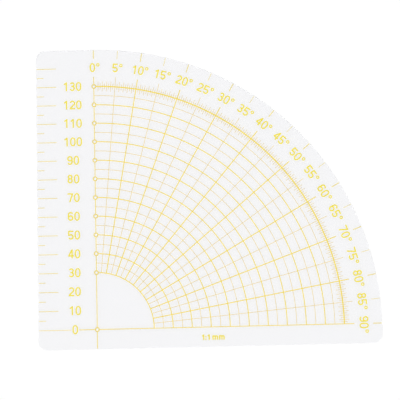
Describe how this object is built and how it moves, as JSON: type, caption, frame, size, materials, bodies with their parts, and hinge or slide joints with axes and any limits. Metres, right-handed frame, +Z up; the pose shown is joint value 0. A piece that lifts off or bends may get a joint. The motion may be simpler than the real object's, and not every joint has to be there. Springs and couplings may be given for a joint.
{
  "type": "quadrant angle and radius template",
  "caption": "Flat clear quarter-circle drawing template: a right-angle protractor with a yellow polar grid, a pivot hole and pen holes for drawing arcs.",
  "frame": {"origin": "on the axis of the pivot hole, at the underside of the sheet", "axes": "+X along the 90 degree line, +Y along the 0 degree line and the row of pen holes, +Z up through the printed face"},
  "size_m": [0.181, 0.1604, 0.0021],
  "materials": {
    "clear_acrylic": "clear polished sheet, water-white, with faint handling scratches",
    "yellow_ink": "lemon to golden yellow screen-printed ink, satin",
    "fine_line_ink": "the same ink in the finest lines, where it looks paler and less lemon"
  },
  "bodies": {
    "root": {"clear_plate": "clear_acrylic", "hole_rings": "yellow_ink", "zero_degree_line": "yellow_ink", "ninety_degree_line": "yellow_ink", "grid_10": "yellow_ink", "grid_5": "fine_line_ink", "degree_ticks": "fine_line_ink", "half_degree_ticks": "fine_line_ink", "outer_marks_10": "yellow_ink", "outer_marks_5": "yellow_ink", "edge_ticks_10": "yellow_ink", "edge_ticks_5": "yellow_ink", "radius_numerals": "yellow_ink", "degree_numerals": "yellow_ink", "degree_signs": "yellow_ink", "scale_note": "yellow_ink"}
  },
  "joints": []
}
